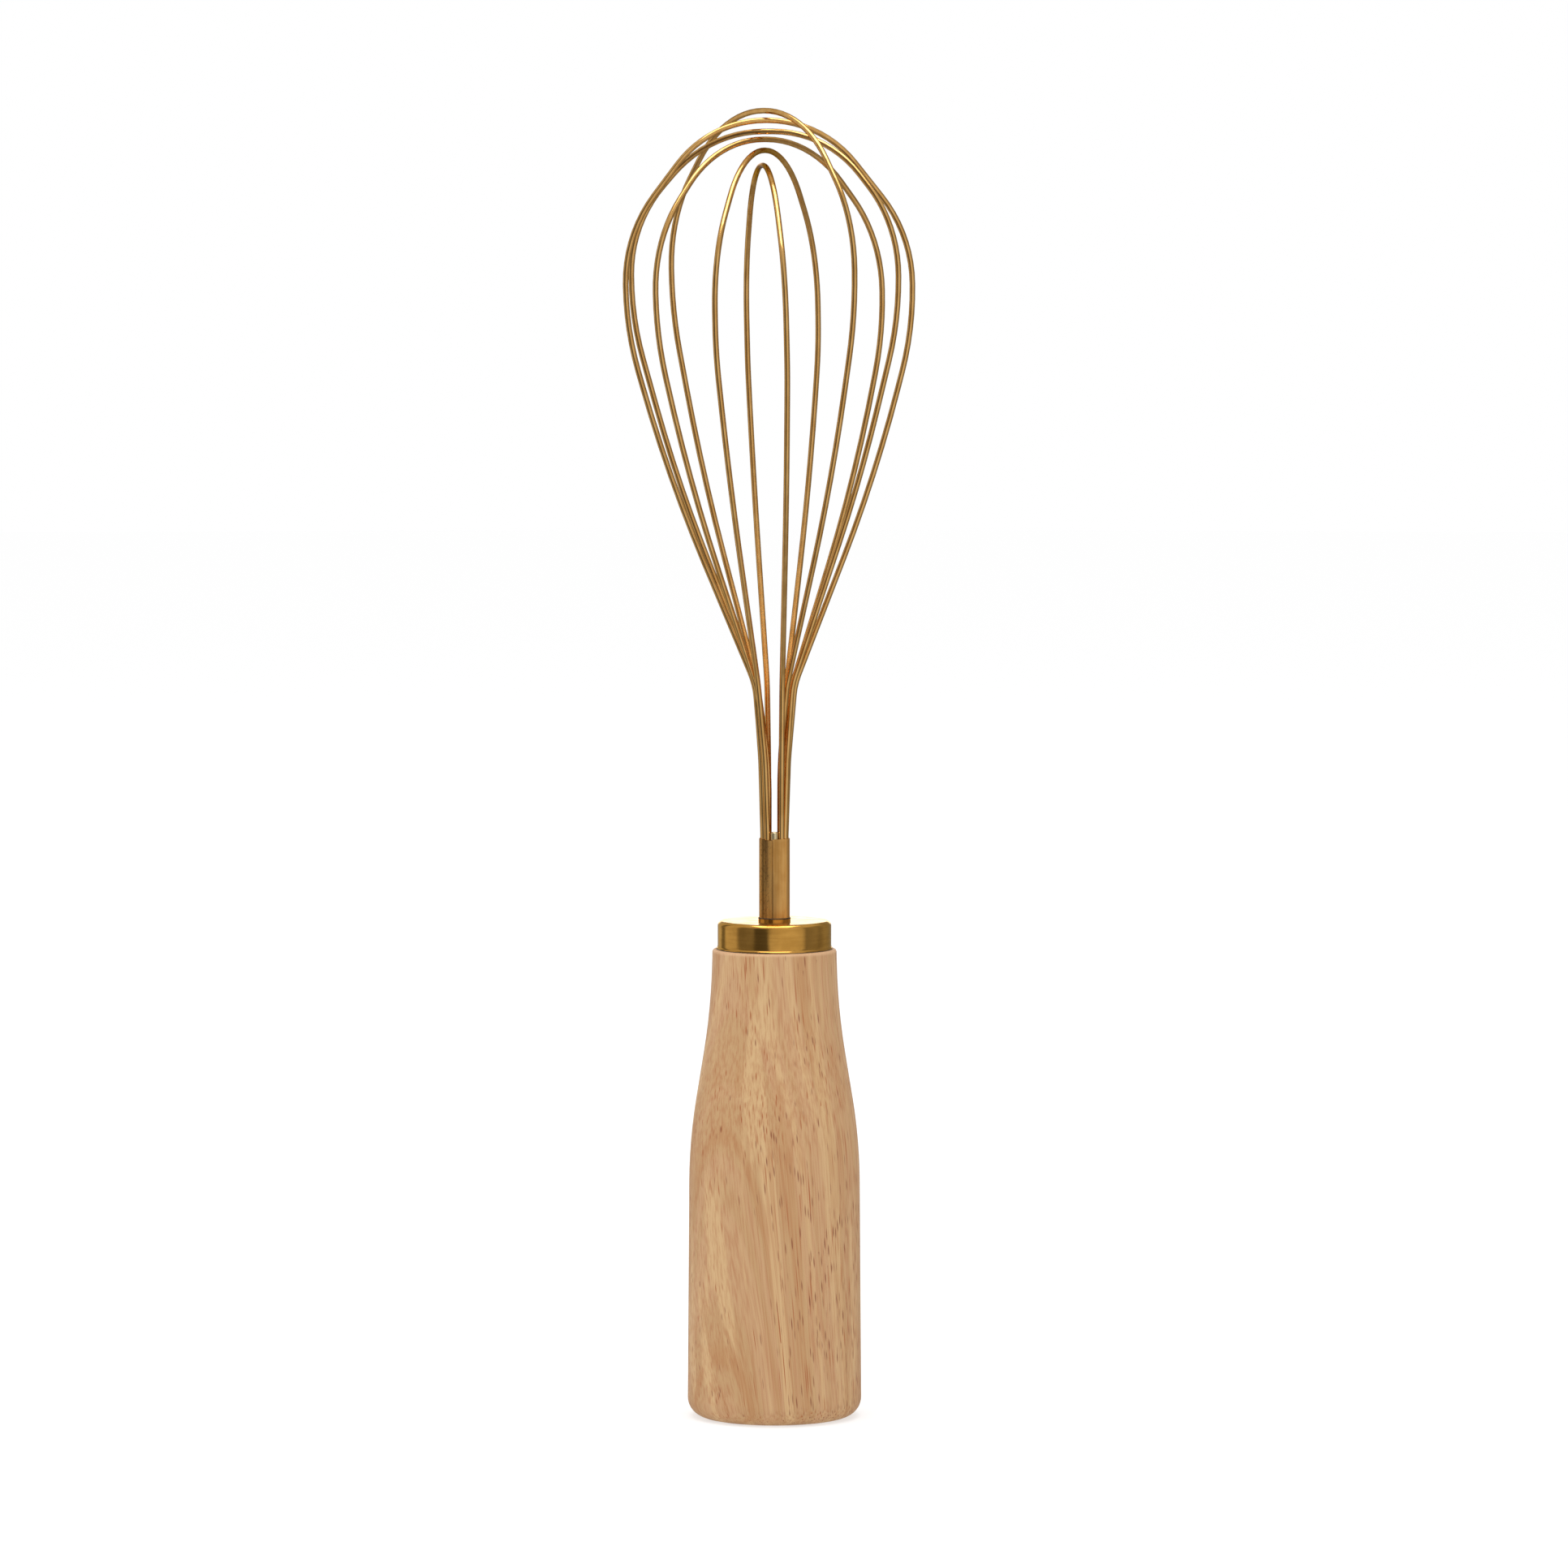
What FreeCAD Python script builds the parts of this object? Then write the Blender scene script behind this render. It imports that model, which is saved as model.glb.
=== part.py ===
import FreeCAD, Part
import math
import os
from collections import namedtuple

# Balloon whisk: six wire loops gathered in a rolled sheet sleeve, which is potted and
# wedged and runs down through a drawn cap into a turned wooden handle.
# Millimetres. Origin at the middle of the flat foot of the handle, +Z up towards the crown.

V = FreeCAD.Vector

# ---- handle, turned from one piece of wood ----
handle_height = 93.6          # foot to the shoulder that the cap sits on
foot_radius = 17.35           # widest, just above the foot
waist_radius = 16.95          # where the long body starts to draw in
waist_drop = 38.2             # below the shoulder
neck_swell = 0.25             # how far the neck, where the draw-in ends, outgrows the shoulder
neck_drop = 11.7              # below the shoulder
shoulder_ledge = 0.83         # how far the shoulder's rim stands out past the cap's hem
foot_round = 3.8
waist_round = 108.0
neck_round = 129.0
shoulder_round = 0.6

# ---- cap, drawn from thin sheet, over a turned spigot on the handle ----
cap_radius = 11.3
cap_height = 5.65
cap_wall = 0.4
cap_top_round = 1.0
hem_flare = 0.22              # how far the hem stands out past the skirt
hem_height = 0.6
lip_height = 0.5              # raised rim around the sleeve's hole
lip_wall = 0.14
cap_clearance = 0.05          # cap to spigot

# ---- sleeve, rolled from strip with a butt seam at the front ----
sleeve_wall = 0.2
sleeve_exposed = 16.4         # from the cap's top to the mouth
sleeve_seated = 36.0          # below the cap's top
sleeve_clearance = 0.02       # sleeve to the cap's hole and to the bore in the handle
bore_relief = 1.0             # bore depth left empty under the sleeve
seam_gap = 0.12
seam_offset = -0.34           # seam's place to the side of the axis
mouth_step = 0.3              # how much lower the mouth is on one side of the seam

# ---- wires ----
wire_diameter = 1.13
wire_clearance = 0.015
wire_start = 6.0              # wire ends above the lower end of the sleeve
leg_slots = (                 # places of one side's legs in the sleeve, in wire pitches
    (0.974, 1.723),
    (1.133, 0.736),
    (0.974, -0.251),
    (1.190, -1.582),
    (1.811, -0.798),
    (1.970, 0.189),
)
inner_slots = (1, 2)          # legs behind others, which spread later to pass between them
front_slot = 3                # the two front legs, with the wedge pin between them

# ---- balloon: corners of a loop's outline, which large arcs round off ----
mouth_lead = 0.6              # legs start to spread this far above the mouth
spread_pitches = 13.625       # above the mouth, where the spread quickens, in wire pitches
outer_share = 0.27            # how much of its spread an outer leg has done by then
inner_share = 0.0             # and an inner leg
neck_pitches = 26.77          # mouth of the sleeve to the neck corner, in wire pitches
flank_rise = 41.4             # neck corner to the corner in the flank
balloon_height = 113.5        # neck corner to the centre line of the tallest crown
balloon_radius = 28.6         # centre line of the wire at the widest
belly_run = 18.7              # between the two corners of the widest stretch

# A leg: its direction in degrees from +X towards +Y, its slot in the sleeve, and its place
# at the neck in wire pitches.
Leg = namedtuple("Leg", "azimuth slot neck_x neck_y")

# A loop: how far its crown lies below the tallest one, the drop from its crown to its widest
# stretch, how far its crown and flank corners stand from the axis, and its lean in degrees
# from upright towards -X. The loops are set by hand, so no two are quite alike.
Loop = namedtuple("Loop", "crown_drop shoulder_drop crown_spread flank_spread lean right left")
loops = (
    Loop(0.0, 21.2, 12.5, 20.3, 0.8, Leg(-54, 2, 2.18, -2.80), Leg(133, 1, -2.97, 2.54)),
    Loop(1.9, 22.5, 11.1, 20.7, 0.9, Leg(3, 5, 3.54, 0.17), Leg(191, 4, -3.34, 0.05)),
    Loop(4.1, 18.2, 12.5, 19.9, 0.3, Leg(-30, 4, 3.06, -1.48), Leg(168, 5, -3.26, 1.15)),
    Loop(5.65, 19.6, 11.8, 21.3, 1.2, Leg(36, 1, 3.14, 1.99), Leg(221, 2, -3.16, -2.22)),
    Loop(7.8, 20.4, 12.0, 22.7, 1.0, Leg(69.5, 0, 2.14, 3.27), Leg(249, 3, -2.80, -3.30)),
    Loop(10.75, 21.3, 13.3, 24.4, 1.3, Leg(-82, 3, 1.35, -3.44), Leg(98, 0, -1.27, 3.44)),
)

mouth_bend = 40.0
spread_bend = 60.0
neck_bend = 15.0
flank_bend = 300.0
belly_bend = 69.0
shoulder_bend = 30.0
crown_bend = 24.6

# ---- wedge pin, driven down between the legs behind the seam ----
pin_clearance = 0.0175        # to the two legs on either side
pin_length = 24.0
pin_rise = 1.4                # above the mouth
pin_tip_radius = 0.45
pin_top_round = 0.32
pin_straight = 12.0           # length of the shank above the taper

# ---- potting, cast in the lower end of the sleeve around the wire ends ----
potting_top = 14.0            # above the lower end of the sleeve
potting_clearance = 0.01

# ---- worked out from the values above ----
wire_radius = wire_diameter / 2
wire_pitch = wire_diameter + wire_clearance
slot_reach = max(math.hypot(x, y) for x, y in leg_slots) * wire_pitch
sleeve_bore = slot_reach + wire_radius + wire_clearance
sleeve_radius = sleeve_bore + sleeve_wall
hem_radius = cap_radius + hem_flare
shoulder_radius = hem_radius + shoulder_ledge
neck_radius = shoulder_radius + neck_swell
cap_top = handle_height + cap_height
mouth_z = cap_top + sleeve_exposed
sleeve_bottom = cap_top - sleeve_seated
cap_inner_round = cap_top_round - cap_wall
spigot_radius = cap_radius - cap_wall - cap_clearance
spigot_top = cap_top - cap_wall - cap_clearance
bore_radius = sleeve_radius + sleeve_clearance
spread_z = mouth_z + spread_pitches * wire_pitch
neck_z = mouth_z + neck_pitches * wire_pitch
pin_radius = leg_slots[front_slot][0] * wire_pitch - wire_radius - pin_clearance
pin_y = -(sleeve_bore - wire_clearance - pin_radius)
straight_below = 0.0005       # radians of turn that count as a straight line
same_height = 0.001


def rounded_path(corners, bends):
    """A wire of straight runs joined by tangent arcs, one for each inner corner.

    Where two neighbouring arcs ask for more than the run between them, both give way.
    A corner in line with its neighbours has no arc and is left out.
    """
    turned_by = [(b - a).getAngle(c - b) for a, b, c in zip(corners, corners[1:], corners[2:])]
    bends = [bend for bend, turn in zip(bends, turned_by) if turn > straight_below]
    kept = [corner for corner, turn in zip(corners[1:], turned_by) if turn > straight_below]
    corners = [corners[0]] + kept + [corners[-1]]
    count = len(corners)
    runs = [corners[i + 1] - corners[i] for i in range(count - 1)]
    turns = [runs[i].getAngle(runs[i + 1]) for i in range(count - 2)]
    setback = [0.0] + [bend * math.tan(turn / 2) for bend, turn in zip(bends, turns)] + [0.0]
    for i, run in enumerate(runs):
        wanted = setback[i] + setback[i + 1]
        room = 0.98 * run.Length
        if wanted > room:
            setback[i] *= room / wanted
            setback[i + 1] *= room / wanted
    edges = []
    last = corners[0]
    for i in range(1, count - 1):
        back = V(runs[i - 1]).normalize()
        ahead = V(runs[i]).normalize()
        start = corners[i] - back * setback[i]
        end = corners[i] + ahead * setback[i]
        radius = setback[i] / math.tan(turns[i - 1] / 2)
        inward = (ahead - back).normalize()
        centre = corners[i] + inward * (radius / math.cos(turns[i - 1] / 2))
        middle = centre - inward * radius
        edges.append(Part.LineSegment(last, start).toShape())
        edges.append(Part.Arc(start, middle, end).toShape())
        last = end
    edges.append(Part.LineSegment(last, corners[-1]).toShape())
    return Part.Wire(edges)


def turned(corners, bends):
    """A solid of revolution about Z from an open outline whose ends lie on the axis."""
    outline = rounded_path(corners, bends)
    axis = Part.LineSegment(corners[-1], corners[0]).toShape()
    face = Part.Face(Part.Wire(outline.Edges + [axis]))
    return face.revolve(V(0, 0, 0), V(0, 0, 1), 360)


def rod(radius, bottom, top, x=0.0, y=0.0):
    return Part.makeCylinder(radius, top - bottom, V(x, y, bottom))


def rim(shape, height):
    """The round edges of a turned shape at one height."""
    return [edge for edge in shape.Edges
            if edge.Closed and abs(edge.CenterOfMass.z - height) < same_height]


def slot_place(slot, side):
    """Place of a leg in the sleeve; side is +1 towards +X and -1 towards -X."""
    x, y = leg_slots[slot]
    return side * x * wire_pitch, y * wire_pitch


def make_handle():
    outline = [
        V(0, 0, 0),
        V(foot_radius, 0, 0),
        V(waist_radius, 0, handle_height - waist_drop),
        V(neck_radius, 0, handle_height - neck_drop),
        V(shoulder_radius, 0, handle_height),
        V(0, 0, handle_height),
    ]
    body = turned(outline, [foot_round, waist_round, neck_round, shoulder_round])
    spigot = rod(spigot_radius, handle_height, spigot_top)
    spigot = spigot.makeChamfer(cap_inner_round, rim(spigot, spigot_top))
    bore = rod(bore_radius, sleeve_bottom - bore_relief, cap_top)
    return body.fuse(spigot).cut(bore).removeSplitter()


def make_cap():
    outer = [
        V(0, 0, handle_height),
        V(hem_radius, 0, handle_height),
        V(hem_radius, 0, handle_height + hem_height / 2),
        V(cap_radius, 0, handle_height + hem_height),
        V(cap_radius, 0, cap_top),
        V(0, 0, cap_top),
    ]
    shell = turned(outer, [hem_flare / 2, hem_flare / 2, hem_height, cap_top_round])
    inside = rod(cap_radius - cap_wall, handle_height, cap_top - cap_wall)
    shell = shell.cut(inside.makeFillet(cap_inner_round, rim(inside, cap_top - cap_wall)))
    lip = rod(bore_radius + lip_wall, cap_top - cap_wall, cap_top + lip_height)
    hole = rod(bore_radius, handle_height, cap_top + lip_height)
    return shell.fuse(lip).cut(hole).removeSplitter()


def make_sleeve():
    tube = rod(sleeve_radius, sleeve_bottom, mouth_z).cut(rod(sleeve_bore, sleeve_bottom, mouth_z))
    seam = Part.makeBox(seam_gap, sleeve_radius, mouth_z - sleeve_bottom,
                        V(seam_offset - seam_gap / 2, -sleeve_radius, sleeve_bottom))
    step = Part.makePolygon([
        V(seam_offset, -sleeve_radius, mouth_z),
        V(seam_offset, -sleeve_radius, mouth_z - mouth_step),
        V(-sleeve_radius, -sleeve_radius, mouth_z),
        V(seam_offset, -sleeve_radius, mouth_z),
    ])
    step = Part.Face(step).extrude(V(0, sleeve_radius, 0))
    return tube.cut(seam).cut(step)


def make_wedge_pin():
    top = mouth_z + pin_rise
    shank = rod(pin_radius, top - pin_straight, top, 0, pin_y)
    shank = shank.makeFillet(pin_top_round, rim(shank, top))
    taper = Part.makeCone(pin_tip_radius, pin_radius, pin_length - pin_straight,
                          V(0, pin_y, top - pin_length))
    return shank.fuse(taper).removeSplitter()


def make_potting():
    plug = rod(sleeve_bore, sleeve_bottom, sleeve_bottom + potting_top)
    leg_hole = wire_radius + potting_clearance
    for slot in range(len(leg_slots)):
        for side in (1, -1):
            x, y = slot_place(slot, side)
            plug = plug.cut(rod(leg_hole, sleeve_bottom + wire_start, sleeve_bottom + potting_top, x, y))
    return plug


def leg_corners(loop, leg, side):
    """Corners of one leg's centre line, from its end in the sleeve up to the crown."""
    angle = math.radians(leg.azimuth)
    slot_x, slot_y = slot_place(leg.slot, side)
    neck_x = leg.neck_x * wire_pitch
    neck_y = leg.neck_y * wire_pitch

    def spread(share, z):
        return V(slot_x + share * (neck_x - slot_x), slot_y + share * (neck_y - slot_y), z)

    def ballooned(reach, z):
        lean = (z - neck_z) * math.tan(math.radians(loop.lean))
        return V(reach * math.cos(angle) - lean, reach * math.sin(angle), z)

    crown_z = neck_z + balloon_height - loop.crown_drop
    shoulder_z = crown_z - loop.shoulder_drop
    return [
        V(slot_x, slot_y, sleeve_bottom + wire_start),
        spread(0, mouth_z + mouth_lead),
        spread(inner_share if leg.slot in inner_slots else outer_share, spread_z),
        spread(1, neck_z),
        ballooned(loop.flank_spread, neck_z + flank_rise),
        ballooned(balloon_radius, shoulder_z - belly_run),
        ballooned(balloon_radius, shoulder_z),
        ballooned(loop.crown_spread, crown_z),
    ]


def make_loop(loop):
    right = leg_corners(loop, loop.right, 1)
    left = leg_corners(loop, loop.left, -1)
    bends = [mouth_bend, spread_bend, neck_bend, flank_bend, belly_bend, shoulder_bend, crown_bend]
    path = rounded_path(right + left[::-1], bends + bends[::-1])
    section = Part.Wire(Part.makeCircle(wire_radius, right[0], V(0, 0, 1)))
    wire = path.makePipeShell([section], True, False)
    drawn = path.Length * math.pi * wire_radius ** 2
    print("loop: length %.1f, volume / (section x length) %.5f" % (path.Length, wire.Volume / drawn))
    return wire


def main():
    pieces = {
        "handle": make_handle(),
        "cap": make_cap(),
        "wire_sleeve": make_sleeve(),
        "wedge_pin": make_wedge_pin(),
        "potting_plug": make_potting(),
    }
    for number, loop in enumerate(loops, start=1):
        pieces["wire_loop_%d" % number] = make_loop(loop)
    os.makedirs("parts", exist_ok=True)
    for name, shape in pieces.items():
        print(name, shape.isValid(), len(shape.Solids), round(shape.Volume, 2))
        shape.exportStep("parts/%s.step" % name)


main()
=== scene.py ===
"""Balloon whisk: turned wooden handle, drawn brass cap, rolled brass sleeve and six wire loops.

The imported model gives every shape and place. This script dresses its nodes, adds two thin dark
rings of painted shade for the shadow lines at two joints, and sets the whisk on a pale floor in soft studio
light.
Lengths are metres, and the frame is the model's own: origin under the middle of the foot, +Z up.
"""
import logging
import math
from collections.abc import Callable, Sequence
from dataclasses import dataclass
from enum import Enum

import bmesh
import bpy
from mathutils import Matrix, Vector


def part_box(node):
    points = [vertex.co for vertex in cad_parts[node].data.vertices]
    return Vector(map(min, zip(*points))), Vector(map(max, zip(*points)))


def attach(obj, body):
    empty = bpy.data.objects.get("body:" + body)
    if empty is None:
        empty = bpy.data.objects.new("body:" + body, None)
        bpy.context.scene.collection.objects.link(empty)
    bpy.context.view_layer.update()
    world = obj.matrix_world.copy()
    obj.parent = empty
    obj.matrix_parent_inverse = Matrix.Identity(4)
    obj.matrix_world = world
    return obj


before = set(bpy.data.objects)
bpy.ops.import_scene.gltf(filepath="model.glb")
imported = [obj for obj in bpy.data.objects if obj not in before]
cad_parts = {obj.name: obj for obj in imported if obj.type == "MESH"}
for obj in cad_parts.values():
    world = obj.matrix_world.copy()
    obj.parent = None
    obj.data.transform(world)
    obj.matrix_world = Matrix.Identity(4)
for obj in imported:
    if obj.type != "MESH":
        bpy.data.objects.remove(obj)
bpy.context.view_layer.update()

log = logging.getLogger("whisk")

ROOT_BODY = "root"
MM = 0.001

Colour = tuple[float, float, float]
Socket = bpy.types.NodeSocket
Value = Socket | float | Sequence[float]


def tint(code: str) -> Colour:
    """Turns a screen colour into the linear light that the shaders work in.

    Args:
        code: six hexadecimal digits, red, green and blue.

    Returns:
        The three linear values.
    """
    def linear(level: float) -> float:
        """One channel, from the screen's curve to linear light."""
        return level / 12.92 if level <= 0.04045 else ((level + 0.055) / 1.055) ** 2.4

    red, green, blue = (linear(int(code[i:i + 2], 16) / 255) for i in (0, 2, 4))
    return red, green, blue


def grey(level: float) -> Colour:
    """An even grey, or an even share of light."""
    return level, level, level


class Marks(Enum):
    """Which way the metal was worked, as how fine its marks stay along x, y and z."""

    ALONG = (1.0, 1.0, 0.035)
    AROUND = (0.06, 0.06, 1.0)


class Graph:
    """A node tree under construction, with short calls for the nodes that the finishes share."""

    def __init__(self, tree: bpy.types.NodeTree) -> None:
        """Starts from an empty tree."""
        self.tree = tree
        tree.nodes.clear()

    def node(self, kind: str, **settings: object) -> bpy.types.Node:
        """Adds a node.

        Args:
            kind: the node type's name, such as ShaderNodeTexNoise.
            settings: properties of the node to set.

        Returns:
            The new node.
        """
        made = self.tree.nodes.new(kind)
        for name, value in settings.items():
            setattr(made, name, value)
        return made

    def feed(self, target: Socket, value: Value) -> None:
        """Links a socket to the target, or sets the target's own value.

        Args:
            target: the input to feed.
            value: a socket, a number, or a colour or vector, which gets an alpha if it needs one.
        """
        if isinstance(value, bpy.types.NodeSocket):
            self.tree.links.new(value, target)
        elif isinstance(value, (int, float)):
            target.default_value = value
        else:
            target.default_value = tuple(value) + (1.0,) * (len(target.default_value) - len(value))

    def filled(self, kind: str, values: Sequence[Value], **settings: object) -> bpy.types.Node:
        """Adds a node and feeds its first inputs in order.

        Args:
            kind: the node type's name.
            values: what to feed, from the first input on.
            settings: properties of the node to set.

        Returns:
            The new node.
        """
        made = self.node(kind, **settings)
        for target, value in zip(made.inputs, values):
            self.feed(target, value)
        return made

    def calc(self, operation: str, *values: Value) -> Socket:
        """The result of one Math operation on the values."""
        return self.filled("ShaderNodeMath", values, operation=operation).outputs[0]

    def vector(self, operation: str, *values: Value) -> Socket:
        """The result of one Vector Math operation on the values."""
        return self.filled("ShaderNodeVectorMath", values, operation=operation).outputs[0]

    def place(self) -> Socket:
        """The shaded point in the model's own frame."""
        return self.node("ShaderNodeTexCoord").outputs["Object"]

    def axes(self, point: Socket) -> tuple[Socket, Socket, Socket]:
        """The three coordinates of a point."""
        x, y, z = self.filled("ShaderNodeSeparateXYZ", (point,)).outputs
        return x, y, z

    def join(self, x: Value, y: Value, z: Value) -> Socket:
        """A point from three coordinates."""
        return self.filled("ShaderNodeCombineXYZ", (x, y, z)).outputs[0]

    def heading(self, x: Socket, y: Socket) -> Socket:
        """The angle about Z in radians, 0 at the front and positive to the right."""
        return self.calc("ARCTAN2", x, self.calc("MULTIPLY", y, -1.0))

    def apart(self, value: Socket, centre: float) -> Socket:
        """How far a value is from a centre, without its sign."""
        return self.calc("ABSOLUTE", self.calc("SUBTRACT", value, centre))

    def noise_node(self, point: Value, scale: float, detail: float = 2.0,
                   roughness: float = 0.5) -> bpy.types.Node:
        """Adds a noise over space.

        Args:
            point: where to look the pattern up.
            scale: cells per metre of the point.
            detail: how many finer layers to add.
            roughness: how strong the finer layers are.

        Returns:
            The node, with a factor and a colour output.
        """
        made = self.node("ShaderNodeTexNoise", noise_dimensions="3D")
        self.feed(made.inputs["Vector"], point)
        self.feed(made.inputs["Scale"], scale)
        self.feed(made.inputs["Detail"], detail)
        self.feed(made.inputs["Roughness"], roughness)
        return made

    def noise(self, point: Value, scale: float, detail: float = 2.0, roughness: float = 0.5) -> Socket:
        """Smooth random values from 0 to 1 over space; the arguments are noise_node's."""
        return self.noise_node(point, scale, detail, roughness).outputs[0]

    def profile(self, along: Value, scale: float, detail: float) -> Socket:
        """Smooth random values from 0 to 1 along a line.

        Args:
            along: where on the line.
            scale: cells per metre.
            detail: how many finer layers to add.

        Returns:
            The factor socket.
        """
        made = self.node("ShaderNodeTexNoise", noise_dimensions="1D")
        self.feed(made.inputs["W"], along)
        self.feed(made.inputs["Scale"], scale)
        self.feed(made.inputs["Detail"], detail)
        return made.outputs[0]

    def span(self, value: Value, low: float, high: float, out_low: float = 0.0,
             out_high: float = 1.0, smooth: bool = True) -> Socket:
        """Maps a value's range onto another, held at both ends.

        Args:
            value: what to map.
            low: the value that gives out_low.
            high: the value that gives out_high.
            out_low: result at low.
            out_high: result at high.
            smooth: eases in and out instead of running straight.

        Returns:
            The mapped value.
        """
        way = "SMOOTHSTEP" if smooth else "LINEAR"
        values = (value, low, high, out_low, out_high)
        return self.filled("ShaderNodeMapRange", values, interpolation_type=way).outputs[0]

    def ramp(self, factor: Value, stops: Sequence[tuple[float, Colour]], ease: bool = False) -> Socket:
        """A colour looked up along stops.

        Args:
            factor: the place on the ramp, 0 to 1.
            stops: pairs of place and colour, in order.
            ease: curves between the stops.

        Returns:
            The colour socket.
        """
        made = self.node("ShaderNodeValToRGB")
        made.color_ramp.interpolation = "EASE" if ease else "LINEAR"
        marks = made.color_ramp.elements
        marks.remove(marks[-1])
        marks[0].position = stops[0][0]
        marks[0].color = (*stops[0][1], 1.0)
        for place, colour in stops[1:]:
            marks.new(place).color = (*colour, 1.0)
        self.feed(made.inputs[0], factor)
        return made.outputs[0]

    def blend(self, factor: Value, first: Value, second: Value, mode: str = "MIX") -> Socket:
        """Mixes two colours.

        Args:
            factor: 0 for the first colour alone, 1 for the whole mix.
            first: the colour below.
            second: the colour above.
            mode: how the second goes over the first.

        Returns:
            The mixed colour.
        """
        # of this node's inputs and outputs, 6 and 7 and output 2 are the ones for colours
        made = self.node("ShaderNodeMix", data_type="RGBA", blend_type=mode)
        self.feed(made.inputs["Factor"], factor)
        self.feed(made.inputs[6], first)
        self.feed(made.inputs[7], second)
        return made.outputs[2]

    def bump(self, height: Socket, depth: float, strength: float = 1.0,
             base: Socket | None = None) -> Socket:
        """A normal from a height pattern.

        Args:
            height: the pattern, 0 to 1.
            depth: what the pattern's full range stands for, in metres.
            strength: how much of the relief shows.
            base: a normal that the relief goes on top of.

        Returns:
            The normal.
        """
        made = self.node("ShaderNodeBump")
        self.feed(made.inputs["Strength"], strength)
        self.feed(made.inputs["Distance"], depth)
        self.feed(made.inputs["Height"], height)
        if base is not None:
            self.feed(made.inputs["Normal"], base)
        return made.outputs[0]


@dataclass(frozen=True)
class Fade:
    """A noise stretched along Z that fades something in, such as a band of paler wood.

    Cells are counted per metre. The fade is least where the noise is at low, and full at high.
    """

    across: float
    along: float
    low: float
    high: float
    strength: float
    least: float = 0.0
    detail: float = 2.0
    roughness: float = 0.5

    def noise(self, graph: Graph, point: Socket) -> Socket:
        """The noise itself, 0 to 1."""
        cells = graph.vector("MULTIPLY", point, (self.across, self.across, self.along))
        return graph.noise(cells, 1.0, self.detail, self.roughness)

    def shown(self, graph: Graph, noise: Socket) -> Socket:
        """How strongly the fade shows where the noise has this value."""
        return graph.span(noise, self.low, self.high, self.least, self.strength)

    def draw(self, graph: Graph, point: Socket) -> Socket:
        """How strongly the fade shows at a point."""
        return self.shown(graph, self.noise(graph, point))


@dataclass(frozen=True)
class Dashes:
    """Short dashes along Z, at most one to a cell, some of them fainter than others.

    Cells are counted per metre. The width is a share of a cell, and the core is the share of the
    width that is darkest.
    """

    across: float
    along: float
    width: float
    strength: float
    core: float = 0.35
    faintest: float = 0.45

    def draw(self, graph: Graph, point: Socket, share: Value) -> Socket:
        """Places the dashes.

        Args:
            graph: the tree to add to.
            point: where to look the pattern up.
            share: how many of the cells hold a dash, 0 to 1.

        Returns:
            1 in the middle of the darkest dashes and 0 outside.
        """
        cells = graph.vector("MULTIPLY", point, (self.across, self.across, self.along))
        found = graph.node("ShaderNodeTexVoronoi", voronoi_dimensions="3D", feature="F1")
        graph.feed(found.inputs["Vector"], cells)
        graph.feed(found.inputs["Scale"], 1.0)
        spot = graph.span(found.outputs["Distance"], self.width, self.width * self.core)
        pick, second, _ = graph.axes(found.outputs["Color"])
        held = graph.calc("LESS_THAN", pick, share)
        dark = graph.span(second, 0.0, 1.0, self.faintest, 1.0)
        return graph.calc("MULTIPLY", graph.calc("MULTIPLY", spot, held), dark)


class Finish:
    """What all finishes share: a material with one Principled shader."""

    label: str

    def draw(self, graph: Graph, shader: bpy.types.Node) -> None:
        """Adds the finish's own pattern and feeds the shader."""
        raise NotImplementedError

    def material(self) -> bpy.types.Material:
        """Makes the material.

        Returns:
            The finished material.
        """
        made = bpy.data.materials.new(self.label)
        made.use_nodes = True
        graph = Graph(made.node_tree)
        shader = graph.node("ShaderNodeBsdfPrincipled")
        output = graph.node("ShaderNodeOutputMaterial")
        graph.feed(output.inputs["Surface"], shader.outputs[0])
        self.draw(graph, shader)
        return made


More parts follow.
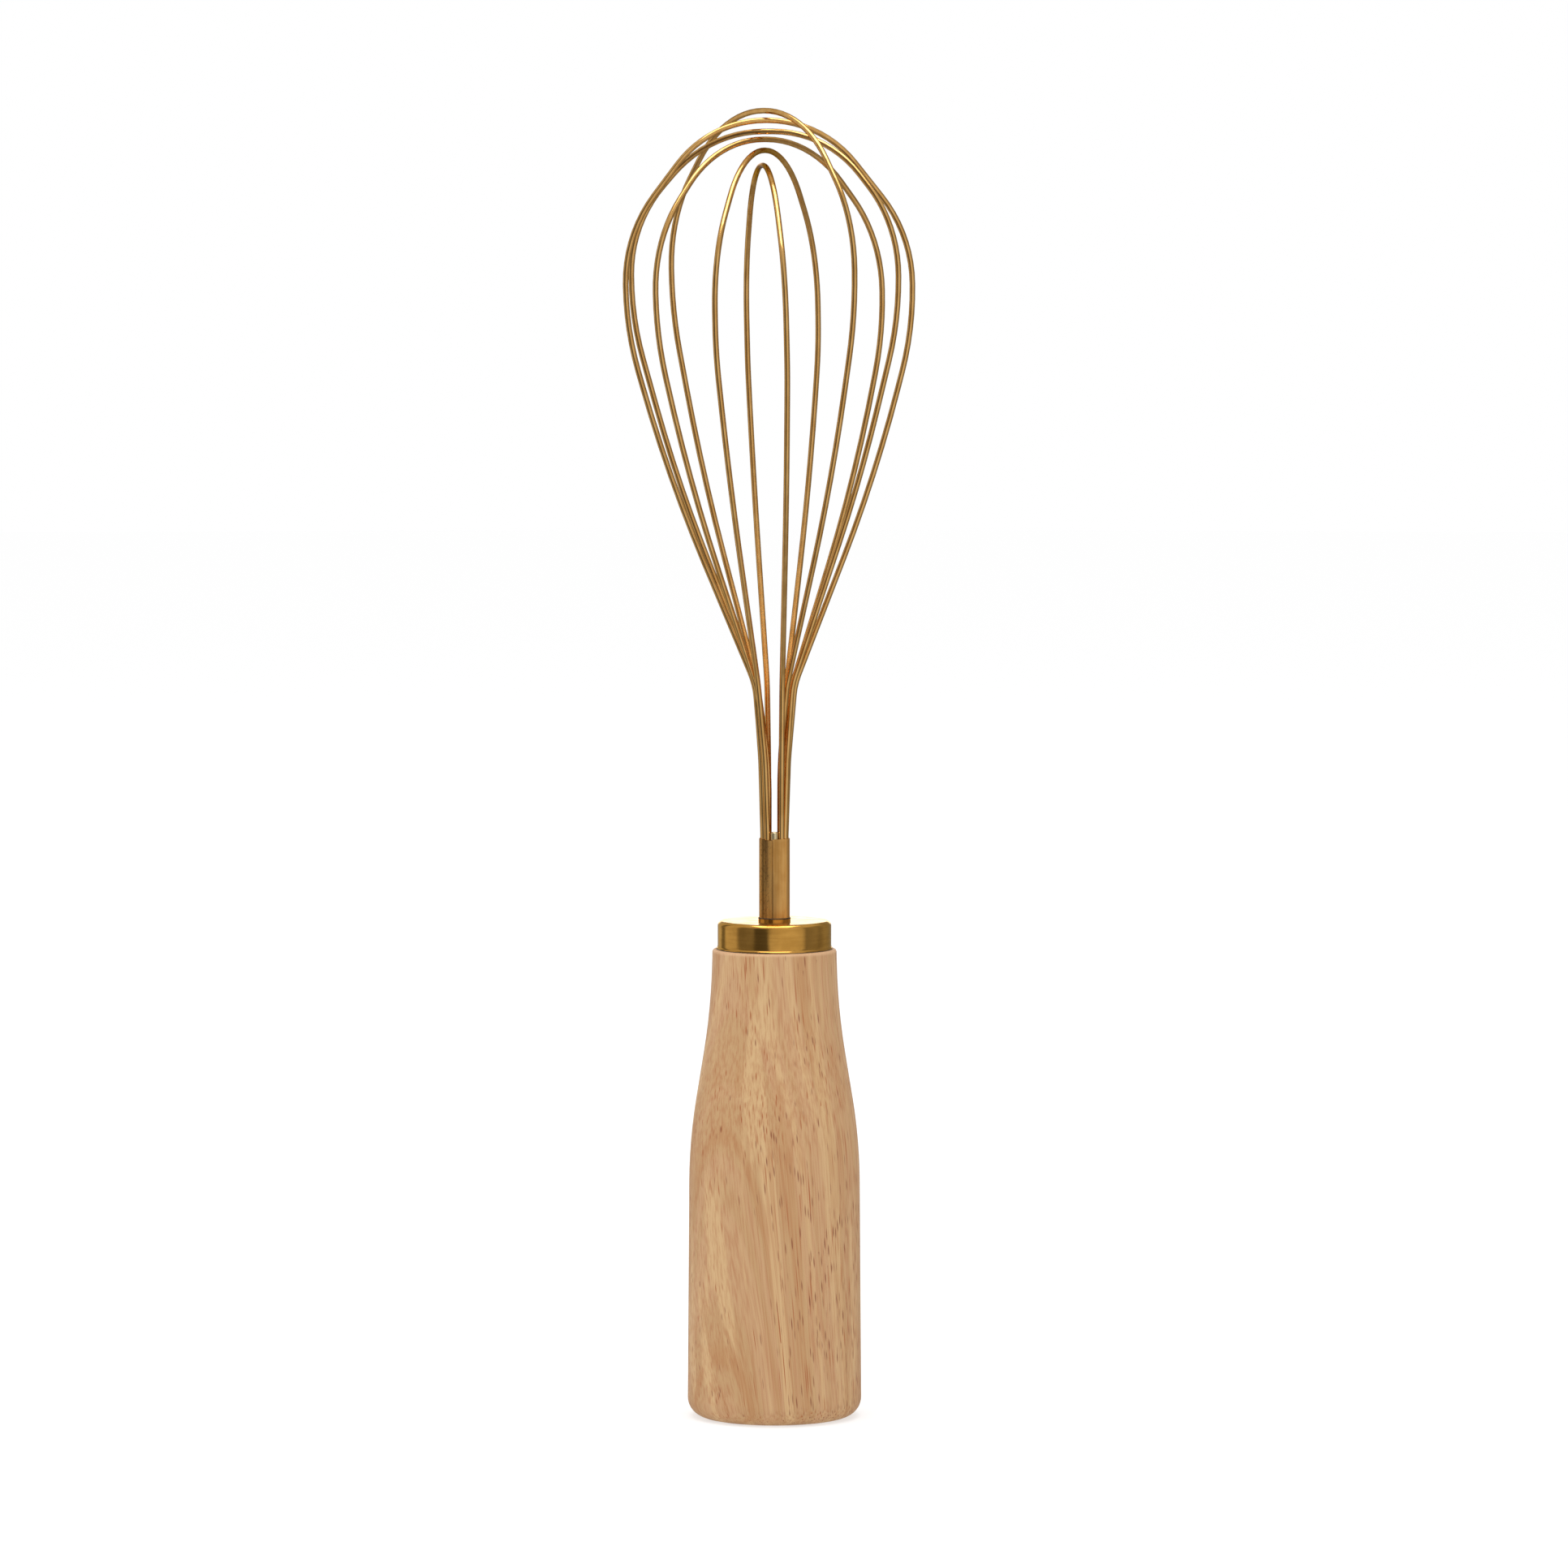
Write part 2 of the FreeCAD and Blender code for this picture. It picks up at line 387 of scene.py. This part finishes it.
@dataclass(frozen=True)
class TurnedWood(Finish):
    """Pale straight-grained hardwood, turned, sanded and lightly oiled.

    The growth rings are sheets that lean a little off the axis and face the front left, so they
    open into tall arches there and close up into fine lines on the sides. The fibres slant, more
    so low down on the left, and one strip of the grain is thick with dark lines.
    """

    shoulder_z: float
    foot_z: float
    label: str = "turned_rubberwood"

    pale: Colour = tint("cfab7b")
    body: Colour = tint("bf986a")
    warm: Colour = tint("b98b5c")
    rosy: Colour = tint("c49b70")
    streak: Colour = tint("a45c2e")
    pore: Colour = tint("87492a")
    rim: Colour = tint("d2a880")

    # which way the rings face, turned from +X towards +Y, and how far they lean with height
    ring_facing: float = math.radians(-128)
    ring_lean: float = -0.034
    ring_width: float = 3.4 * MM
    ring_detail: float = 2.5
    ring_stops: tuple[float, float, float, float] = (0.30, 0.44, 0.56, 0.70)

    # the fibres' slant, their bend below bend_top, and their slow waver
    slant: float = 0.07
    bend: float = 1.5
    bend_top: float = 70 * MM
    bend_least_x: float = 6 * MM
    bend_full_x: float = -9 * MM
    bend_least: float = 0.1
    waver: float = 0.9 * MM
    waver_scale: float = 62.0
    waver_stretch: float = 0.22
    waver_detail: float = 1.5

    bands: Fade = Fade(across=230.0, along=5.0, low=0.50, high=0.62, strength=0.90)
    blush: Fade = Fade(across=330.0, along=9.0, low=0.50, high=0.70, strength=0.60, detail=3.0)
    fibres: Fade = Fade(across=2700.0, along=45.0, low=0.38, high=0.72, strength=0.42, roughness=0.6)
    patches: Fade = Fade(across=150.0, along=16.0, low=0.42, high=0.64, strength=0.8, least=0.10,
                         detail=1.0)
    lines: Dashes = Dashes(across=2000.0, along=48.0, width=0.36, strength=0.95)
    pores: Dashes = Dashes(across=2100.0, along=240.0, width=0.40, strength=0.90)

    # the ray's middle and its two half widths, as angles round the handle from the front
    ray_facing: float = math.radians(53)
    ray_reach: float = 0.055
    ray_core: float = 0.015
    ray_strength: float = 0.75
    # where dark lines and pores crowd, and how many cells hold a pore there
    flecked_x: float = 4.8 * MM
    fleck_reach: float = 2.0 * MM
    fleck_core: float = 0.2
    pores_at_top: float = 0.12
    pores_at_left: float = 0.12
    pores_at_right: float = 0.70
    pore_left_x: float = -6 * MM
    pore_right_x: float = 8 * MM
    # the paler rim, down from the shoulder
    rim_foot: float = 0.9 * MM
    rim_top: float = 0.1 * MM
    rim_strength: float = 0.75

    roughness: float = 0.5
    smoother: float = 0.05
    duller: float = 0.1
    polish_range: tuple[float, float] = (0.3, 0.75)
    gloss: float = 0.45
    pore_sink: float = 2.0
    fibre_depth: float = 0.03 * MM
    relief: float = 0.6

    def grain(self, graph: Graph) -> tuple[Socket, Socket, Socket]:
        """The point measured with the grain, after the fibres' slant, bend and waver.

        Args:
            graph: the tree to add to.

        Returns:
            Across to the right, across to the back, and along the grain.
        """
        point = graph.place()
        slow = graph.vector("MULTIPLY", point, (1.0, 1.0, self.waver_stretch))
        shift = graph.noise_node(slow, self.waver_scale, self.waver_detail).outputs["Color"]
        centred = graph.vector("SUBTRACT", shift, grey(0.5))
        aside = graph.vector("MULTIPLY", centred, (self.waver, self.waver, 0.0))
        x, y, z = graph.axes(graph.vector("ADD", point, aside))
        straight = graph.calc("MULTIPLY_ADD", z, self.slant, x)
        below = graph.calc("MAXIMUM", graph.calc("SUBTRACT", self.bend_top, z), 0.0)
        share = graph.span(x, self.bend_least_x, self.bend_full_x, self.bend_least, 1.0)
        swept = graph.calc("MULTIPLY", graph.calc("POWER", below, 2.0), share)
        return graph.calc("MULTIPLY_ADD", swept, -self.bend, straight), y, z

    def rings(self, graph: Graph, x: Socket, y: Socket, z: Socket) -> Socket:
        """The colour of the growth rings at a point.

        Args:
            graph: the tree to add to.
            x: across the grain to the right.
            y: across the grain to the back.
            z: along the grain.

        Returns:
            The colour.
        """
        aside = graph.calc("MULTIPLY", x, math.cos(self.ring_facing))
        ahead = graph.calc("MULTIPLY_ADD", y, math.sin(self.ring_facing), aside)
        depth = graph.calc("MULTIPLY_ADD", z, self.ring_lean, ahead)
        ring = graph.profile(depth, 1.0 / self.ring_width, self.ring_detail)
        colours = (self.warm, self.body, self.rosy, self.pale)
        return graph.ramp(ring, list(zip(self.ring_stops, colours)), ease=True)

    def ray(self, graph: Graph, x: Socket, y: Socket) -> Socket:
        """How strongly the pale ray down the handle shows.

        Args:
            graph: the tree to add to.
            x: across the grain to the right.
            y: across the grain to the back.

        Returns:
            The strength, 0 to ray_strength.
        """
        beside = graph.apart(graph.heading(x, y), self.ray_facing)
        return graph.span(beside, self.ray_reach, self.ray_core, 0.0, self.ray_strength)

    def line_share(self, graph: Graph, grain: Socket, x: Socket) -> Socket:
        """How many cells hold a dark line: more in patches, and most in the flecked strip.

        Args:
            graph: the tree to add to.
            grain: the point measured with the grain.
            x: across the grain to the right.

        Returns:
            The share, 0 to 1.
        """
        near = graph.apart(x, self.flecked_x)
        dense = graph.span(near, self.fleck_reach, self.fleck_core * self.fleck_reach)
        return graph.calc("MAXIMUM", self.patches.draw(graph, grain), dense)

    def pore_share(self, graph: Graph, x: Socket, z: Socket) -> Socket:
        """How many cells hold an open pore: more towards the foot and the right.

        Args:
            graph: the tree to add to.
            x: across the grain to the right.
            z: along the grain.

        Returns:
            The share, 0 to 1.
        """
        low = graph.span(z, self.shoulder_z, self.foot_z, self.pores_at_top, 1.0, smooth=False)
        right = graph.span(x, self.pore_left_x, self.pore_right_x, self.pores_at_left, self.pores_at_right)
        return graph.calc("MULTIPLY", low, right)

    def draw(self, graph: Graph, shader: bpy.types.Node) -> None:
        """Layers bands, a ray, fibres, dark lines, open pores and the rim over the rings.

        Args:
            graph: the tree to add to.
            shader: the Principled shader to feed.
        """
        x, y, z = self.grain(graph)
        grain = graph.join(x, y, z)
        fibre = self.fibres.noise(graph, grain)
        lines = self.lines.draw(graph, grain, self.line_share(graph, grain, x))
        pores = self.pores.draw(graph, grain, self.pore_share(graph, x, z))
        edge = graph.span(z, self.shoulder_z - self.rim_foot, self.shoulder_z - self.rim_top,
                          0.0, self.rim_strength)
        layers = (
            (self.bands.draw(graph, grain), self.pale),
            (self.ray(graph, x, y), self.pale),
            (self.blush.draw(graph, grain), self.warm),
            (self.fibres.shown(graph, fibre), self.streak),
            (graph.calc("MULTIPLY", lines, self.lines.strength), self.streak),
            (graph.calc("MULTIPLY", pores, self.pores.strength), self.pore),
            (edge, self.rim))
        colour = self.rings(graph, x, y, z)
        for strength, over in layers:
            colour = graph.blend(strength, colour, over)
        graph.feed(shader.inputs["Base Color"], colour)

        polish = graph.span(fibre, *self.polish_range, self.roughness - self.smoother,
                            self.roughness + self.duller)
        graph.feed(shader.inputs["Roughness"], polish)
        graph.feed(shader.inputs["Specular IOR Level"], self.gloss)
        height = graph.calc("SUBTRACT", fibre, graph.calc("MULTIPLY", pores, self.pore_sink))
        graph.feed(shader.inputs["Normal"], graph.bump(height, self.fibre_depth, self.relief))


@dataclass(frozen=True)
class Brass(Finish):
    """Gold-toned metal with the fine marks of how it was drawn, rolled or polished."""

    label: str
    bright: Colour = tint("e6ac54")
    aged: Colour = tint("d49c49")
    grazing: Colour = grey(1.0)
    marks: Marks = Marks.ALONG
    mark_scale: float = 2400.0
    mark_detail: float = 2.0
    mark_roughness: float = 0.6
    mark_depth: float = 0.004 * MM
    mark_relief: float = 0.5
    mark_share: float = 0.5
    age_range: tuple[float, float] = (0.38, 0.62)
    cloud_scale: float = 260.0
    cloud_detail: float = 3.0
    cloud_roughness: float = 0.55
    cloud_range: tuple[float, float] = (0.35, 0.65)
    smooth: float = 0.34
    dull: float = 0.48
    ripple: float = 0.0
    ripple_scale: float = 170.0
    ripple_detail: float = 1.0

    def pattern(self, graph: Graph) -> Socket:
        """The marks, fine and stretched the way the metal was worked."""
        point = graph.vector("MULTIPLY", graph.place(), self.marks.value)
        return graph.noise(point, self.mark_scale, self.mark_detail, self.mark_roughness)

    def tone(self, graph: Graph, mark: Socket, cloud: Socket) -> Socket:
        """The metal's colour, slightly deeper where it has aged.

        Args:
            graph: the tree to add to.
            mark: the marks, 0 to 1.
            cloud: slow variation, 0 to 1.

        Returns:
            The colour.
        """
        mixed = graph.calc("ADD", graph.calc("MULTIPLY", mark, self.mark_share),
                           graph.calc("MULTIPLY", cloud, 1.0 - self.mark_share))
        return graph.blend(graph.span(mixed, *self.age_range), self.bright, self.aged)

    def relief(self, graph: Graph, mark: Socket) -> Socket:
        """The shallow relief of the marks, over the slow ripple that pressing leaves.

        Args:
            graph: the tree to add to.
            mark: the marks, 0 to 1.

        Returns:
            The normal.
        """
        marked = graph.bump(mark, self.mark_depth, self.mark_relief)
        if not self.ripple:
            return marked
        slow = graph.noise(graph.place(), self.ripple_scale, self.ripple_detail)
        return graph.bump(slow, self.ripple, base=marked)

    def draw(self, graph: Graph, shader: bpy.types.Node) -> None:
        """Feeds colour, roughness and relief from the marks and clouds.

        Args:
            graph: the tree to add to.
            shader: the Principled shader to feed.
        """
        mark = self.pattern(graph)
        cloud = graph.noise(graph.place(), self.cloud_scale, self.cloud_detail, self.cloud_roughness)
        graph.feed(shader.inputs["Metallic"], 1.0)
        graph.feed(shader.inputs["Base Color"], self.tone(graph, mark, cloud))
        graph.feed(shader.inputs["Roughness"], graph.span(cloud, *self.cloud_range, self.smooth, self.dull))
        graph.feed(shader.inputs["Specular Tint"], self.grazing)
        graph.feed(shader.inputs["Normal"], self.relief(graph, mark))


@dataclass(frozen=True)
class RolledStrip(Brass):
    """Brass strip, rolled flatter at the front, with long streaks, scuffs left of the seam and painted
    reflection bands across it.
    """

    label: str = "rolled_brass_strip"
    bright: Colour = tint("fcc272")
    aged: Colour = tint("efb160")
    stain: Colour = tint("94683a")
    mark_scale: float = 2600.0
    smooth: float = 0.36
    reach: float = 3.0 * MM
    flattening: float = 0.4
    streaks: Fade = Fade(across=900.0, along=45.0, low=0.48, high=0.62, strength=0.55, detail=1.0)
    scuffs: Fade = Fade(across=3800.0, along=1900.0, low=0.56, high=0.66, strength=1.0, detail=1.0)
    scuff_full: float = -0.75
    scuff_strength: float = 0.7
    # painted reflection across the strip, from the left edge of the sleeve to the right one:
    # painted shade browns both edges and darkens a narrow band near the left one, and two stretches at full
    # brightness are painted highlights
    painted_reflection_bands: tuple[tuple[float, Colour], ...] = (
        (0.0, (0.9, 0.86, 0.81)), (0.08, (0.8, 0.76, 0.72)), (0.115, (0.5, 0.48, 0.44)),
        (0.14, (0.55, 0.53, 0.49)), (0.165, grey(1.0)), (0.29, grey(1.0)), (0.34, grey(0.85)),
        (0.45, grey(0.88)), (0.52, grey(0.79)), (0.62, grey(0.76)), (0.68, grey(0.81)),
        (0.82, grey(0.83)), (0.86, grey(1.0)), (0.93, grey(1.0)), (0.96, (0.84, 0.8, 0.76)),
        (1.0, (0.88, 0.86, 0.83)))

    def tone(self, graph: Graph, mark: Socket, cloud: Socket) -> Socket:
        """The brass colour with streaks along the strip, painted reflection bands across it, and scuffs on
        its left.

        Args:
            graph: the tree to add to.
            mark: the marks, 0 to 1.
            cloud: slow variation, 0 to 1.

        Returns:
            The colour.
        """
        place = graph.place()
        x, _, _ = graph.axes(place)
        colour = super().tone(graph, mark, cloud)
        colour = graph.blend(self.streaks.draw(graph, place), colour, self.stain)
        across = graph.span(x, -self.reach, self.reach, smooth=False)
        # painted reflection: the bands multiply the colour, darker and brighter across the sleeve
        colour = graph.blend(1.0, colour, graph.ramp(across, self.painted_reflection_bands), "MULTIPLY")
        near = graph.span(x, 0.0, self.scuff_full * self.reach)
        spots = graph.calc("MULTIPLY", self.scuffs.draw(graph, place), near)
        return graph.blend(graph.calc("MULTIPLY", spots, self.scuff_strength), colour, self.stain)

    def relief(self, graph: Graph, mark: Socket) -> Socket:
        """The marks over a front and back that were rolled flatter than a true round.

        Args:
            graph: the tree to add to.
            mark: the marks, 0 to 1.

        Returns:
            The normal.
        """
        x, _, _ = graph.axes(graph.place())
        rise = self.flattening * self.reach
        bow = graph.calc("POWER", graph.calc("DIVIDE", x, self.reach), 2.0)
        marked = graph.calc("MULTIPLY", mark, self.mark_depth / rise)
        return graph.bump(graph.calc("ADD", bow, marked), rise)


@dataclass(frozen=True)
class CastResin(Finish):
    """Dark set resin, with a faint skin of dust and a low gloss."""

    label: str
    dark: Colour = tint("2a1d12")
    light: Colour = tint("4a3622")
    speck_scale: float = 2200.0
    speck_detail: float = 3.0
    speck_roughness: float = 0.6
    light_range: tuple[float, float] = (0.4, 0.65)
    dust_range: tuple[float, float] = (0.3, 0.7)
    smooth: float = 0.35
    dusty: float = 0.6
    depth: float = 0.02 * MM
    relief: float = 0.5

    def draw(self, graph: Graph, shader: bpy.types.Node) -> None:
        """Mottled colour and roughness over a slightly uneven skin.

        Args:
            graph: the tree to add to.
            shader: the Principled shader to feed.
        """
        speck = graph.noise(graph.place(), self.speck_scale, self.speck_detail, self.speck_roughness)
        colour = graph.blend(graph.span(speck, *self.light_range), self.dark, self.light)
        graph.feed(shader.inputs["Base Color"], colour)
        graph.feed(shader.inputs["Roughness"], graph.span(speck, *self.dust_range, self.smooth, self.dusty))
        graph.feed(shader.inputs["Normal"], graph.bump(speck, self.depth, self.relief))


@dataclass(frozen=True)
class PaleFloor(Finish):
    """Seamless white paper that glows a little, so that it meets the white background."""

    label: str = "floor_paper"
    paper: Colour = grey(0.44)
    fibre: Colour = grey(0.42)
    glow: float = 0.60
    fibre_scale: float = 900.0
    roughness: float = 0.9

    def draw(self, graph: Graph, shader: bpy.types.Node) -> None:
        """A faint paper fibre, matt all over.

        Args:
            graph: the tree to add to.
            shader: the Principled shader to feed.
        """
        fleck = graph.noise(graph.place(), self.fibre_scale)
        graph.feed(shader.inputs["Base Color"], graph.blend(fleck, self.paper, self.fibre))
        graph.feed(shader.inputs["Roughness"], self.roughness)
        graph.feed(shader.inputs["Specular IOR Level"], 0.0)
        graph.feed(shader.inputs["Emission Color"], grey(1.0))
        graph.feed(shader.inputs["Emission Strength"], self.glow)


def dress(node: str, material: bpy.types.Material) -> None:
    """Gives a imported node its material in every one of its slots.

    Args:
        node: the node's name.
        material: what it is to wear.
    """
    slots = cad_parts[node].data.materials
    if not slots:
        slots.append(material)
    for index in range(len(slots)):
        slots[index] = material


def lathed(name: str, outline: Callable[[float], tuple[float, float]], sides: int,
           turns: int) -> bpy.types.Object:
    """Spins a closed outline about Z into a ring.

    Args:
        name: the new object's name.
        outline: radius and height at each share, 0 to 1, of the way round the outline.
        sides: points round the outline.
        turns: steps round the axis.

    Returns:
        The ring, linked to the scene.
    """
    mesh = bpy.data.meshes.new(name)
    build = bmesh.new()
    rings = []
    for turn in range(turns):
        angle = 2 * math.pi * turn / turns
        ring = []
        for side in range(sides):
            radius, height = outline(side / sides)
            ring.append(build.verts.new((radius * math.cos(angle), radius * math.sin(angle), height)))
        rings.append(ring)
    for turn in range(turns):
        here, there = rings[turn], rings[(turn + 1) % turns]
        for side in range(sides):
            after = (side + 1) % sides
            face = build.faces.new((here[side], there[side], there[after], here[after]))
            face.smooth = True
    bmesh.ops.recalc_face_normals(build, faces=build.faces)
    build.to_mesh(mesh)
    build.free()
    made = bpy.data.objects.new(name, mesh)
    bpy.context.scene.collection.objects.link(made)
    return made


def half_width(node: str) -> float:
    """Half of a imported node's extent along X."""
    low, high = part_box(node)
    return (high.x - low.x) / 2


@dataclass
class Handle:
    """The turned handle, one piece of wood with a paler band just below the shoulder."""

    node: str = "handle"
    cap_node: str = "cap"

    def build(self) -> None:
        """Dresses the wood."""
        foot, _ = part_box(self.node)
        cap_foot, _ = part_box(self.cap_node)
        dress(self.node, TurnedWood(shoulder_z=cap_foot.z, foot_z=foot.z).material())
        log.info("%s: turned wood, %.1f mm to the shoulder", self.node, (cap_foot.z - foot.z) / MM)


@dataclass
class Cap:
    """The drawn cap over the handle's spigot, polished as it turned and slightly rippled."""

    node: str = "cap"
    finish: Brass = Brass("polished_brass_cap", marks=Marks.AROUND, mark_scale=1600.0,
                          mark_depth=0.001 * MM, smooth=0.10, dull=0.19,
                          grazing=(0.98, 0.88, 0.62), ripple=0.10 * MM)

    def build(self) -> None:
        """Dresses the cap."""
        dress(self.node, self.finish.material())
        log.info("%s: polished brass", self.node)


@dataclass
class SleeveGroup:
    """The rolled sleeve with the wedge pin in its mouth and the potting in its lower end."""

    sleeve_node: str = "wire_sleeve"
    pin_node: str = "wedge_pin"
    potting_node: str = "potting_plug"
    pin_finish: Brass = Brass("bright_pin", bright=tint("f2deb0"), aged=tint("dcc28c"))
    potting_finish: CastResin = CastResin("potting_resin")

    def build(self) -> None:
        """Dresses the three pieces."""
        reach = half_width(self.sleeve_node)
        dress(self.sleeve_node, RolledStrip(reach=reach).material())
        log.info("%s: rolled strip, %.2f mm across", self.sleeve_node, 2 * reach / MM)
        dress(self.pin_node, self.pin_finish.material())
        log.info("%s: bright pin", self.pin_node)
        dress(self.potting_node, self.potting_finish.material())
        log.info("%s: cast resin", self.potting_node)


@dataclass
class WireLoops:
    """The six loops of drawn wire, each of its own length."""

    prefix: str = "wire_loop_"
    finish: Brass = Brass("drawn_brass_wire", bright=tint("f9c57a"), aged=tint("e6b066"),
                          grazing=tint("b09878"), mark_scale=900.0, mark_depth=0.0002 * MM,
                          smooth=0.07, dull=0.15)

    def build(self) -> None:
        """Dresses every loop in the one wire finish."""
        material = self.finish.material()
        for node in sorted(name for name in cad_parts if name.startswith(self.prefix)):
            dress(node, material)
            _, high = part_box(node)
            log.info("%s: drawn wire, crown %.1f mm up", node, high.z / MM)


@dataclass
class ShadowLineBeads:
    """Thin dark beads under the cap's hem and round the sleeve's foot, painted shade for the shadow lines
    at these two joints.
    """

    cap_node: str = "cap"
    sleeve_node: str = "wire_sleeve"
    hem_bead: float = 0.14 * MM
    lip_bead: float = 0.13 * MM
    slot: str = "potting"
    sides: int = 12
    turns: int = 128

    def bead(self, name: str, radius: float, height: float, size: float) -> bpy.types.Object:
        """One bead, a ring of round section.

        Args:
            name: the piece's name.
            radius: of the ring's middle line.
            height: of the ring's middle line.
            size: radius of the section.

        Returns:
            The bead, riding on the whisk.
        """
        def outline(share: float) -> tuple[float, float]:
            """A point of the round section."""
            angle = 2 * math.pi * share
            return radius + size * math.cos(angle), height + size * math.sin(angle)

        made = lathed(name, outline, self.sides, self.turns)
        # painted shade: a dark resin finish, so the ring reads as the shadow line at its joint
        made.data.materials.append(CastResin(name + "_resin").material())
        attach(made, ROOT_BODY)
        log.info("%s: painted shadow bead, %.1f mm across", name, 2 * radius / MM)
        return made

    def build(self) -> None:
        """Makes both beads from the boxes of the cap and the sleeve."""
        cap_low, cap_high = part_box(self.cap_node)
        hem = half_width(self.cap_node)
        sleeve = half_width(self.sleeve_node)
        # painted shade: a dark ring for the shadow line under the cap's hem, and one for the dark band
        # round the sleeve's foot
        self.bead("hem_painted_shadow", hem - self.hem_bead / 2, cap_low.z, self.hem_bead)
        self.bead("lip_painted_shadow", sleeve + self.lip_bead / 2, cap_high.z, self.lip_bead)


@dataclass
class Studio:
    """Pale floor, soft light all round, an overhead softbox and the camera.

    Polished metal shows the room, so its reflections see the panels and dark gaps between them at
    the whisk's own level, a bright backdrop behind, a bright ceiling and a dim floor. Heights in
    the room are the upward share of a direction: 0 level and 1 straight up.
    """

    floor_radius: float = 4.0
    floor_steps: int = 96
    room_left: float = 1.03
    room_right: float = 0.79
    overhead_height: float = 1.25
    overhead_ahead: float = 0.12
    overhead_side: float = 0.95
    overhead_power: float = 8.0
    # place round the room in degrees, 0 in front and positive to the right, and brightness
    panels: tuple[tuple[float, float], ...] = (
        (-180, 0.36), (-140, 0.56), (-134, 0.18), (-124, 0.18), (-117, 0.58), (-84, 0.53),
        (-76, 0.19), (-46, 0.23), (-40, 0.08), (-14, 0.10), (-7, 0.54), (12, 0.66), (44, 0.65),
        (58, 0.56), (68, 0.22), (96, 0.28), (104, 0.21), (122, 0.32), (150, 0.26), (180, 0.36))
    backdrop: float = 2.0
    backdrop_edge: tuple[float, float] = (math.radians(160), math.radians(170))
    backdrop_foot: tuple[float, float] = (-0.03, 0.03)
    backdrop_top: tuple[float, float] = (0.22, 0.15)
    ceiling: float = 0.60
    ceiling_edge: tuple[float, float] = (0.45, 0.80)
    dim_floor: float = 0.30
    dim_floor_edge: tuple[float, float] = (-0.50, -0.85)
    distance: float = 1.650
    eye_height: float = 0.250
    eye_aside: float = 0.0019
    look_down: float = math.radians(4.282)
    lens: float = 191.2
    sensor: float = 36.0

    def lay_floor(self) -> None:
        """Lays a wide disc under the foot, which the metal doesn't mirror."""
        mesh = bpy.data.meshes.new("floor")
        build = bmesh.new()
        bmesh.ops.create_circle(build, cap_ends=True, segments=self.floor_steps, radius=self.floor_radius)
        build.to_mesh(mesh)
        build.free()
        floor = bpy.data.objects.new("floor", mesh)
        floor.data.materials.append(PaleFloor().material())
        floor.visible_glossy = False
        bpy.context.scene.collection.objects.link(floor)

    def hang_softbox(self) -> None:
        """Hangs a square softbox overhead, a little in front."""
        light = bpy.data.lights.new("overhead_softbox", "AREA")
        light.shape = "SQUARE"
        light.size = self.overhead_side
        light.energy = self.overhead_power
        softbox = bpy.data.objects.new("overhead_softbox", light)
        softbox.location = (0.0, -self.overhead_ahead, self.overhead_height)
        bpy.context.scene.collection.objects.link(softbox)

    def mirrored(self, graph: Graph, turn: Socket, z: Socket) -> Socket:
        """What a reflection sees of the room.

        Args:
            graph: the tree to add to.
            turn: the direction's angle round the room, 0 at the front.
            z: the direction's upward share.

        Returns:
            The room's brightness in that direction, as a colour.
        """
        share = graph.calc("MULTIPLY_ADD", turn, 1 / (2 * math.pi), 0.5)
        seen = graph.ramp(share, [((place + 180) / 360, grey(level)) for place, level in self.panels])
        behind = graph.span(graph.calc("ABSOLUTE", turn), *self.backdrop_edge)
        foot = graph.span(z, *self.backdrop_foot)
        top = graph.span(z, *self.backdrop_top)
        held = graph.calc("MULTIPLY", behind, graph.calc("MULTIPLY", foot, top))
        seen = graph.blend(held, seen, grey(self.backdrop))
        seen = graph.blend(graph.span(z, *self.ceiling_edge), seen, grey(self.ceiling))
        return graph.blend(graph.span(z, *self.dim_floor_edge), seen, grey(self.dim_floor))

    def light_room(self) -> None:
        """Lights the room: white for the camera, even for matt surfaces, panels for reflections."""
        world = bpy.data.worlds.new("studio")
        world.use_nodes = True
        bpy.context.scene.world = world
        graph = Graph(world.node_tree)
        x, y, z = graph.axes(graph.node("ShaderNodeTexCoord").outputs["Generated"])
        panels = self.mirrored(graph, graph.heading(x, y), z)
        even = graph.blend(graph.span(x, -1.0, 1.0), grey(self.room_left), grey(self.room_right))
        path = graph.node("ShaderNodeLightPath")
        seen = graph.blend(path.outputs["Is Glossy Ray"], even, panels)
        seen = graph.blend(path.outputs["Is Camera Ray"], seen, grey(1.0))
        background = graph.node("ShaderNodeBackground")
        graph.feed(background.inputs["Color"], seen)
        output = graph.node("ShaderNodeOutputWorld")
        graph.feed(output.inputs["Surface"], background.outputs[0])

    def set_camera(self) -> None:
        """Sets a long lens at the height of the crown, looking slightly down."""
        data = bpy.data.cameras.new("camera")
        data.lens = self.lens
        data.sensor_width = self.sensor
        camera = bpy.data.objects.new("camera", data)
        camera.location = (self.eye_aside, -self.distance, self.eye_height)
        camera.rotation_euler = (math.pi / 2 - self.look_down, 0.0, 0.0)
        bpy.context.scene.collection.objects.link(camera)
        bpy.context.scene.camera = camera

    def build(self) -> None:
        """Sets up the whole studio."""
        bpy.context.scene.view_settings.view_transform = "Standard"
        self.lay_floor()
        self.hang_softbox()
        self.light_room()
        self.set_camera()
        log.info("studio: floor, softbox, room light and camera")


def main() -> None:
    """Builds the whisk's looks in order."""
    logging.basicConfig(level=logging.INFO, format="%(name)s: %(message)s")
    for part in (Studio(), Handle(), Cap(), SleeveGroup(), WireLoops(), ShadowLineBeads()):
        part.build()


if __name__ == "__main__":
    main()
